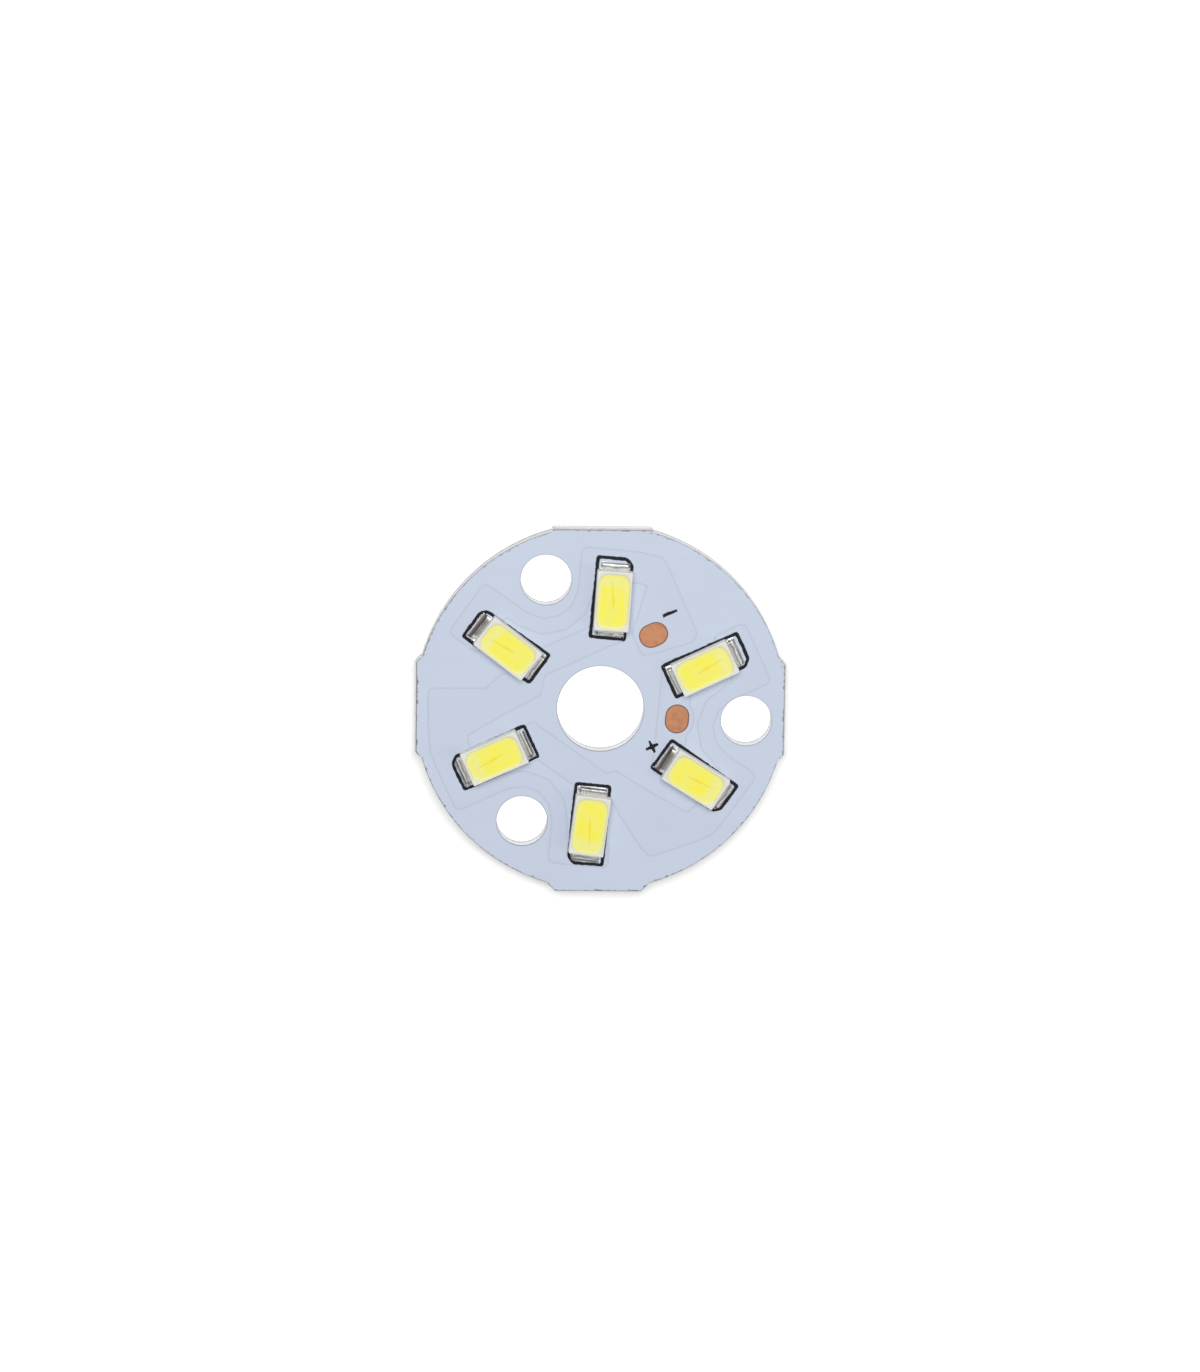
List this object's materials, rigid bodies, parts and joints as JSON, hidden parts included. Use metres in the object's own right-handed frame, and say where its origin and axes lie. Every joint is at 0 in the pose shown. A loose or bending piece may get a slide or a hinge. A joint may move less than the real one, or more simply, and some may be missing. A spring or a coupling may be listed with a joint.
{
  "type": "led board",
  "caption": "Round aluminium-core circuit board with a ring of yellow surface-mount LEDs, a wire hole in the middle, screw holes near the rim and scored break-off edges.",
  "frame": {"origin": "middle of the wire hole, on the bare back of the aluminium plate", "axes": "+Z out of the face that carries the LEDs, +Y towards the break-off edge beside the first LED"},
  "size_m": [0.03, 0.0299, 0.0026],
  "materials": {
    "aluminium": "bare rolled aluminium",
    "insulation": "filled epoxy insulating layer",
    "copper": "bare copper",
    "lacquer": "white solder lacquer, satin",
    "ink": "black screen print",
    "lamp_body": "white moulded resin",
    "lead": "silver-plated lead frame",
    "chip": "chip under yellow silicone",
    "wire": "gold wire",
    "silicone": "yellow phosphor silicone",
    "solder": "bright solder"
  },
  "bodies": {
    "root": {"base_plate": "aluminium", "dielectric": "insulation", "copper_negative": "copper", "copper_link_a": "copper", "copper_link_b": "copper", "copper_positive": "copper", "solder_mask": "lacquer", "legend": "ink", "led_1_housing": "lamp_body", "led_1_cathode_lead": "lead", "led_1_anode_lead": "lead", "led_1_die": "chip", "led_1_bond_wires": "wire", "led_1_phosphor": "silicone", "led_1_cathode_solder": "solder", "led_1_anode_solder": "solder", "led_2_housing": "lamp_body", "led_2_cathode_lead": "lead", "led_2_anode_lead": "lead", "led_2_die": "chip", "led_2_bond_wires": "wire", "led_2_phosphor": "silicone", "led_2_cathode_solder": "solder", "led_2_anode_solder": "solder", "led_3_housing": "lamp_body", "led_3_cathode_lead": "lead", "led_3_anode_lead": "lead", "led_3_die": "chip", "led_3_bond_wires": "wire", "led_3_phosphor": "silicone", "led_3_cathode_solder": "solder", "led_3_anode_solder": "solder", "led_4_housing": "lamp_body", "led_4_cathode_lead": "lead", "led_4_anode_lead": "lead", "led_4_die": "chip", "led_4_bond_wires": "wire", "led_4_phosphor": "silicone", "led_4_cathode_solder": "solder", "led_4_anode_solder": "solder", "led_5_housing": "lamp_body", "led_5_cathode_lead": "lead", "led_5_anode_lead": "lead", "led_5_die": "chip", "led_5_bond_wires": "wire", "led_5_phosphor": "silicone", "led_5_cathode_solder": "solder", "led_5_anode_solder": "solder", "led_6_housing": "lamp_body", "led_6_cathode_lead": "lead", "led_6_anode_lead": "lead", "led_6_die": "chip", "led_6_bond_wires": "wire", "led_6_phosphor": "silicone", "led_6_cathode_solder": "solder", "led_6_anode_solder": "solder"}
  },
  "joints": []
}
